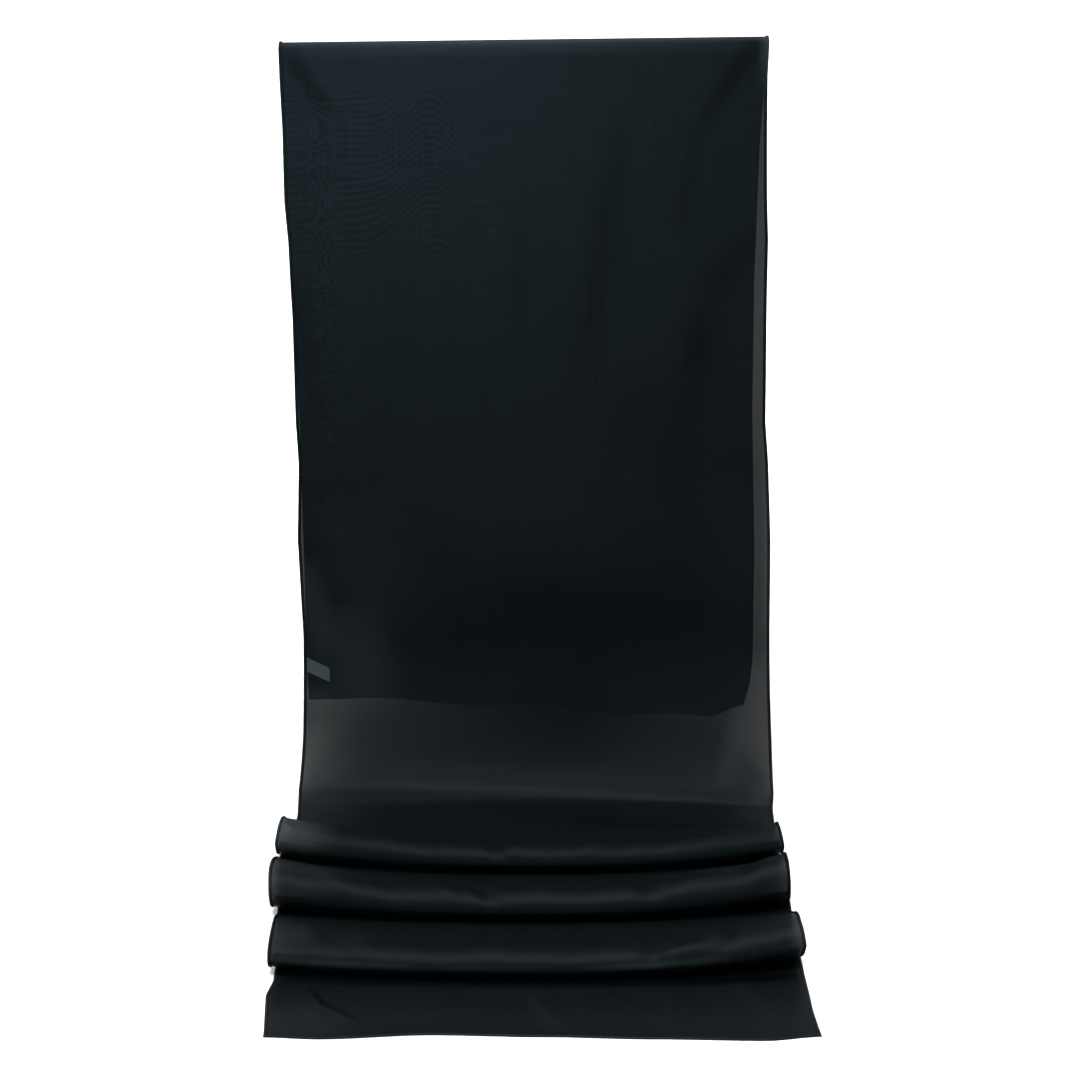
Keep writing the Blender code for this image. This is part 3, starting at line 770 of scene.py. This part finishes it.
def make_hems(points, tone, finish):
    rows, columns = border(points.shape)
    inward = inward_from(points, rows, columns)
    outward = facing(points)[rows, columns]
    turned = 2.0 * math.pi * np.arange(HEM_SIDES) / HEM_SIDES
    middle = points[rows, columns] + inward * HEM_INSET + outward * HEM_OUT
    rings = (middle[:, None, :]
             + inward[:, None, :] * (HEM_HALF_WIDTH * np.cos(turned))[None, :, None]
             + outward[:, None, :] * (HEM_HALF_THICKNESS * np.sin(turned))[None, :, None])
    rings[:, :, 2] = np.maximum(rings[:, :, 2], -DROP)
    hems = place_mesh("hems", rings.reshape(-1, 3), tube_faces(len(rows), HEM_SIDES), finish)
    steps = np.linalg.norm(np.diff(middle, axis=0), axis=1)
    along, around = np.meshgrid(np.concatenate(([0.0], np.cumsum(steps))),
                                HEM_HALF_WIDTH * turned, indexing="ij")
    add_map(hems, np.stack((along, around), axis=2))
    # The hems take the cloth's tone at its edge, with its painted light and shade
    add_values(hems, "tone", np.repeat(tone[rows, columns], HEM_SIDES))
    return hems


def on_back(points, rows, across, drop):
    """Place on the back stretch, at a place across and a distance below the rod's axis."""
    column = np.interp(across, ACROSS, np.arange(COLUMNS))
    low = int(column)
    spots = []
    for each in (low, low + 1):
        line = points[rows, each]
        spots.append(np.array([np.interp(-drop, line[:, 2], line[:, axis])
                               for axis in range(3)]))
    return spots[0] + (column - low) * (spots[1] - spots[0])


def make_label(points, stretch_rows, finish):
    """A slip of tape sewn in at the left hem, on the inner side of the back stretch."""
    rows = stretch_rows["back_panel"][0]
    back = np.empty((LABEL_ROWS, LABEL_COLUMNS, 3))
    for row, down in enumerate(even(LABEL_ROWS)):
        for column, out in enumerate(even(LABEL_COLUMNS)):
            across = LABEL_ACROSS + out * LABEL_LENGTH / WIDTH
            drop = LABEL_DROP + out * LABEL_FALL + down * LABEL_HEIGHT
            back[row, column] = on_back(points, rows, across, drop)
            back[row, column, 1] -= LABEL_OFF + LABEL_CURL * out * out
    front = back - np.array((0.0, LABEL_WALL, 0.0))
    count = LABEL_ROWS * LABEL_COLUMNS
    corner = np.arange(count).reshape(LABEL_ROWS, LABEL_COLUMNS)
    rim = np.concatenate((corner[0, :-1], corner[:-1, -1],
                          corner[-1, :0:-1], corner[:0:-1, 0]))
    front_faces = grid_faces(LABEL_ROWS, LABEL_COLUMNS)
    back_faces = [tuple(count + index for index in reversed(face)) for face in front_faces]
    rim_faces = [(a, b, b + count, a + count)
                 for a, b in zip(rim.tolist(), np.roll(rim, -1).tolist())]
    label = place_mesh("label_tape", np.concatenate((front.reshape(-1, 3), back.reshape(-1, 3))),
                       front_faces + back_faces + rim_faces, finish)
    label.data.set_sharp_from_angle(angle=math.radians(LABEL_SHARP_ANGLE))
    out, down = np.meshgrid(even(LABEL_COLUMNS) * LABEL_LENGTH, even(LABEL_ROWS) * LABEL_HEIGHT)
    flat = np.stack((out, down), axis=2)
    add_map(label, np.concatenate((flat, flat)))
    return label


# ---------------------------------------------------------------------------
# Finishes
# ---------------------------------------------------------------------------

def new_material(name, roughness):
    made = bpy.data.materials.new(name)
    made.use_nodes = True
    tree = made.node_tree
    tree.nodes["Principled BSDF"].inputs["Roughness"].default_value = roughness
    return made, tree


def calculate(tree, operation, *inputs):
    """A math node, from numbers and sockets."""
    node = tree.nodes.new("ShaderNodeMath")
    node.operation = operation
    for socket, value in zip(node.inputs, inputs):
        if isinstance(value, (int, float)):
            socket.default_value = value
        else:
            tree.links.new(value, socket)
    return node.outputs[0]


def spread(tree, value, tones):
    """A value from 0 to 1, spread between two tones."""
    low, high = tones
    return calculate(tree, "MULTIPLY_ADD", value, high - low, low)


def sine(tree, value, turn):
    """The sine of a value times turn."""
    turned = calculate(tree, "MULTIPLY", value, turn)
    return calculate(tree, "SINE", turned)


def noise(tree, place, swells, detail=NOISE_DETAIL):
    """Noise from 0 to 1 with so many swells to a metre along each axis of a map."""
    scaled = tree.nodes.new("ShaderNodeVectorMath")
    scaled.operation = "MULTIPLY"
    scaled.inputs[1].default_value = (*swells, 1.0)
    tree.links.new(place, scaled.inputs[0])
    texture = tree.nodes.new("ShaderNodeTexNoise")
    texture.inputs["Scale"].default_value = 1.0
    texture.inputs["Detail"].default_value = detail
    tree.links.new(scaled.outputs[0], texture.inputs["Vector"])
    return texture.outputs["Fac"]


def ramp(tree, value, low, high):
    """An eased step from 0 at low to 1 at high."""
    node = tree.nodes.new("ShaderNodeMapRange")
    node.interpolation_type = "SMOOTHSTEP"
    node.inputs["From Min"].default_value = low
    node.inputs["From Max"].default_value = high
    tree.links.new(value, node.inputs["Value"])
    return node.outputs["Result"]


def hump(tree, value, middle, half_width):
    """A bell curve from 0 up to 1 at middle."""
    offset = calculate(tree, "MULTIPLY_ADD", value, 1.0 / half_width, -middle / half_width)
    squared = calculate(tree, "MULTIPLY", offset, offset)
    return calculate(tree, "POWER", math.e, calculate(tree, "MULTIPLY", squared, -1.0))


def flat_place(tree):
    """The flat cloth's map, and its two directions."""
    place = tree.nodes.new("ShaderNodeUVMap")
    place.uv_map = "cloth"
    parts = tree.nodes.new("ShaderNodeSeparateXYZ")
    tree.links.new(place.outputs["UV"], parts.inputs[0])
    return place.outputs["UV"], parts.outputs["X"], parts.outputs["Y"]


def value_of(tree, name):
    """A value that the mesh holds for each vertex."""
    node = tree.nodes.new("ShaderNodeAttribute")
    node.attribute_name = name
    return node.outputs["Fac"]


def threads(tree, across, along, pitch):
    """Height of a plain weave, from -1 to 1."""
    turn = 2.0 * math.pi / pitch
    return calculate(tree, "MULTIPLY", sine(tree, across, turn), sine(tree, along, turn))


def set_bump(tree, height, relief):
    bump = tree.nodes.new("ShaderNodeBump")
    bump.inputs["Distance"].default_value = relief
    bump.inputs["Strength"].default_value = BUMP_STRENGTH
    tree.links.new(height, bump.inputs["Height"])
    tree.links.new(bump.outputs["Normal"], tree.nodes["Principled BSDF"].inputs["Normal"])


def scaled_colour(tree, colour, strength):
    """A colour times a value that varies over the surface."""
    scaled = tree.nodes.new("ShaderNodeVectorMath")
    scaled.operation = "SCALE"
    scaled.inputs[0].default_value = colour
    tree.links.new(strength, scaled.inputs["Scale"])
    return scaled.outputs[0]


def set_colour(tree, colour):
    tree.links.new(colour, tree.nodes["Principled BSDF"].inputs["Base Color"])


def set_silk_colour(tree, uneven):
    """The silk's colour, with painted shade below a tone of 1 and a paler, greyer painted light
    above it.
    """
    tone = value_of(tree, "tone")
    up_to_one = calculate(tree, "MULTIPLY", calculate(tree, "MINIMUM", tone, 1.0), uneven)
    above_one = calculate(tree, "MAXIMUM", calculate(tree, "SUBTRACT", tone, 1.0), 0.0)
    # A tone above 1 adds painted light
    pale = tree.nodes.new("ShaderNodeVectorMath")
    pale.operation = "MULTIPLY_ADD"
    pale.inputs[0].default_value = SILK_PAINTED_LIGHT
    tree.links.new(above_one, pale.inputs[1])
    tree.links.new(scaled_colour(tree, SILK_COLOUR, up_to_one), pale.inputs[2])
    set_colour(tree, pale.outputs[0])


def slubs(tree, place):
    """Long thin streaks of thicker threads, along both directions of the weave."""
    total = calculate(tree, "ADD", noise(tree, place, SLUB_SWELLS),
                      noise(tree, place, SLUB_SWELLS[::-1]))
    return calculate(tree, "SUBTRACT", total, 1.0)


def moire(tree, place, across, along):
    """Fine bent lines, nested in arches and in a column of rings, from about -1 to 1."""
    front_start = BACK_HEM[2].distance + math.pi * BEND_RADIUS

    def fade(distances):
        """From 0 to 1 between two distances down from the rod."""
        return ramp(tree, along, front_start + distances[0], front_start + distances[1])

    count = calculate(tree, "MULTIPLY", along, MOIRE_LINES)
    for bend, lines in ((noise(tree, place, MOIRE_BEND_SWELLS), MOIRE_BEND),
                        (hump(tree, across, *MOIRE_ARCH), MOIRE_ARCH_LINES)):
        count = calculate(tree, "MULTIPLY_ADD", bend, lines, count)
    arches = sine(tree, count, 2.0 * math.pi)
    rings = sine(tree, noise(tree, place, MOIRE_RING_SWELLS), 2.0 * math.pi * MOIRE_RING_LINES)
    in_column = hump(tree, across, *MOIRE_RINGS)
    beside_column = calculate(tree, "SUBTRACT", 1.0, in_column)
    high_up = calculate(tree, "MULTIPLY", ramp(tree, across, *MOIRE_RIGHT_FADE),
                        fade(MOIRE_ARCH_FADE))
    arched = calculate(tree, "MULTIPLY", arches,
                       calculate(tree, "MULTIPLY", high_up, beside_column))
    ring_depth = calculate(tree, "MULTIPLY", in_column, MOIRE_RING_DEPTH)
    ringed = calculate(tree, "MULTIPLY", rings,
                       calculate(tree, "MULTIPLY", ring_depth, fade(MOIRE_RING_FADE)))
    return calculate(tree, "MULTIPLY", calculate(tree, "ADD", arched, ringed),
                     fade(MOIRE_TOP_FADE))


def silk_finish():
    """Sheer plain-woven silk, its tone and sheerness read from the mesh."""
    made, tree = new_material("silk_sheer", SILK_ROUGHNESS)
    shader = tree.nodes["Principled BSDF"]
    shader.inputs["Specular IOR Level"].default_value = SILK_GLOSS
    place, across, along = flat_place(tree)
    uneven = slubs(tree, place)
    varied = calculate(tree, "MULTIPLY_ADD", uneven, SLUB_DEPTH, 1.0)
    lines = moire(tree, place, across, along)
    set_silk_colour(tree, calculate(tree, "MULTIPLY_ADD", lines, MOIRE_DEPTH, varied))
    solid = calculate(tree, "SUBTRACT", 1.0, value_of(tree, "sheer"))
    tree.links.new(solid, shader.inputs["Alpha"])
    weave = threads(tree, across, along, THREAD)
    set_bump(tree, calculate(tree, "MULTIPLY_ADD", uneven, SLUB_HEIGHT, weave), SILK_RELIEF)
    return made


def hem_finish():
    """The same silk, with the cloth's painted light and shade, rolled and sewn with small
    slanting stitches.
    """
    made, tree = new_material("silk_hem", SILK_ROUGHNESS)
    tree.nodes["Principled BSDF"].inputs["Specular IOR Level"].default_value = SILK_GLOSS
    place, along, around = flat_place(tree)
    uneven = noise(tree, place, HEM_SWELLS, FINE_DETAIL)
    set_silk_colour(tree, spread(tree, uneven, HEM_TONES))
    slanted = calculate(tree, "MULTIPLY_ADD", around, STITCH_SLANT, along)
    stitched = sine(tree, slanted, 2.0 * math.pi / STITCH)
    dimples = calculate(tree, "POWER", calculate(tree, "ABSOLUTE", stitched), STITCH_SHARPNESS)
    set_bump(tree, calculate(tree, "SUBTRACT", uneven, dimples), HEM_RELIEF)
    return made


def label_finish():
    """Bare woven tape. Its glow is painted light, which stands in for the light that the sheer
    cloth lets through to it.
    """
    made, tree = new_material("label_tape", LABEL_ROUGHNESS)
    shader = tree.nodes["Principled BSDF"]
    shader.inputs["Emission Color"].default_value = LABEL_PAINTED_GLOW_COLOUR
    shader.inputs["Emission Strength"].default_value = LABEL_PAINTED_GLOW
    place, across, along = flat_place(tree)
    uneven = noise(tree, place, LABEL_SWELLS, FINE_DETAIL)
    set_colour(tree, scaled_colour(tree, LABEL_COLOUR, spread(tree, uneven, LABEL_TONES)))
    set_bump(tree, threads(tree, across, along, LABEL_THREAD), LABEL_RELIEF)
    return made


def rod_finish():
    """White acrylic with a satin skin and faint drawing marks."""
    made, tree = new_material("rod_paint", ROD_ROUGHNESS)
    place = tree.nodes.new("ShaderNodeTexCoord").outputs["Object"]
    marks = noise(tree, place, ROD_SWELLS, FINE_DETAIL)
    set_colour(tree, scaled_colour(tree, ROD_COLOUR, spread(tree, marks, ROD_TONES)))
    set_bump(tree, marks, ROD_RELIEF)
    return made


def floor_finish():
    made, tree = new_material("floor_paint", FLOOR_ROUGHNESS)
    tree.nodes["Principled BSDF"].inputs["Base Color"].default_value = FLOOR_COLOUR
    return made


# ---------------------------------------------------------------------------
# Stage and lights
# ---------------------------------------------------------------------------

def make_floor():
    half = FLOOR_SIZE / 2
    corners = [(x * half, y * half, -DROP) for x, y in ((-1, -1), (1, -1), (1, 1), (-1, 1))]
    floor = place_mesh("floor", corners, [(0, 1, 2, 3)], floor_finish())
    floor.visible_diffuse = False
    floor.visible_glossy = False


def aim(item, target):
    direction = np.subtract(target, item.location)
    item.rotation_mode = "QUATERNION"
    item.rotation_quaternion = Vector(direction).to_track_quat("-Z", "Y")


def make_spot(name, place, target, cone, radius, power):
    data = bpy.data.lights.new(name, "SPOT")
    data.spot_size = math.radians(cone)
    data.spot_blend = 1.0
    data.shadow_soft_size = radius
    data.energy = power
    light = bpy.data.objects.new(name, data)
    light.location = place
    light.visible_glossy = False
    light.visible_camera = False
    bpy.context.scene.collection.objects.link(light)
    aim(light, target)


def make_area(name, place, target, size, power):
    data = bpy.data.lights.new(name, "AREA")
    data.shape = "DISK"
    data.size = size
    data.energy = power
    light = bpy.data.objects.new(name, data)
    light.location = place
    light.visible_camera = False
    light.visible_diffuse = False
    bpy.context.scene.collection.objects.link(light)
    aim(light, target)


def make_world(strength):
    """White all round, that lights the scene with this strength and is seen at full white."""
    world = bpy.data.worlds.new("studio")
    world.use_nodes = True
    nodes, links = world.node_tree.nodes, world.node_tree.links
    lit = nodes["Background"]
    lit.inputs["Color"].default_value = WHITE
    lit.inputs["Strength"].default_value = strength
    seen = nodes.new("ShaderNodeBackground")
    seen.inputs["Color"].default_value = WHITE
    path = nodes.new("ShaderNodeLightPath")
    mix = nodes.new("ShaderNodeMixShader")
    links.new(path.outputs["Is Camera Ray"], mix.inputs["Fac"])
    links.new(lit.outputs["Background"], mix.inputs[1])
    links.new(seen.outputs["Background"], mix.inputs[2])
    links.new(mix.outputs["Shader"], nodes["World Output"].inputs["Surface"])
    bpy.context.scene.world = world


def make_sun(name, azimuth, elevation, softness, strength):
    """Azimuth 0 shines from the front, and above 0 from the viewer's right. All in degrees."""
    data = bpy.data.lights.new(name, "SUN")
    data.angle = math.radians(softness)
    data.energy = strength
    sun = bpy.data.objects.new(name, data)
    sun.rotation_euler = (math.radians(90.0 - elevation), 0.0, math.radians(azimuth))
    sun.visible_glossy = False
    bpy.context.scene.collection.objects.link(sun)


def make_lights():
    make_sun("front", azimuth=0.0, elevation=60.0, softness=27.0, strength=4.8)
    make_sun("left", azimuth=-45.0, elevation=35.0, softness=30.0, strength=1.5)
    make_spot("upper_left", place=(-0.40, -1.60, 0.80), target=(-0.12, 0.0, 0.10),
              cone=24.0, radius=0.25, power=930.0)
    make_sun("back", azimuth=180.0, elevation=4.0, softness=6.0, strength=6.0)
    make_area("overhead", place=(0.0, 0.1, 1.3), target=(0.0, -0.2, -0.5), size=1.2, power=22.0)
    make_world(strength=0.45)


# ---------------------------------------------------------------------------
# Build
# ---------------------------------------------------------------------------

bpy.context.scene.view_settings.view_transform = "Standard"
make_camera()
make_floor()
make_lights()

sheet_points, sheet_path, sheet_stretches = creased_sheet()
sheet_tone, sheet_sheer = shading(sheet_path, sheet_stretches)
scarf = make_scarf(sheet_points, sheet_path, sheet_tone, sheet_sheer, silk_finish())
hems = make_hems(sheet_points, sheet_tone, hem_finish())
label = make_label(sheet_points, sheet_stretches, label_finish())
for piece in (scarf, hems, label):
    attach(piece, "root")
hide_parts(*[name for name, _ in STRETCHES])
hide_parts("label")
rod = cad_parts["rod"]
rod.data.materials.clear()
rod.data.materials.append(rod_finish())
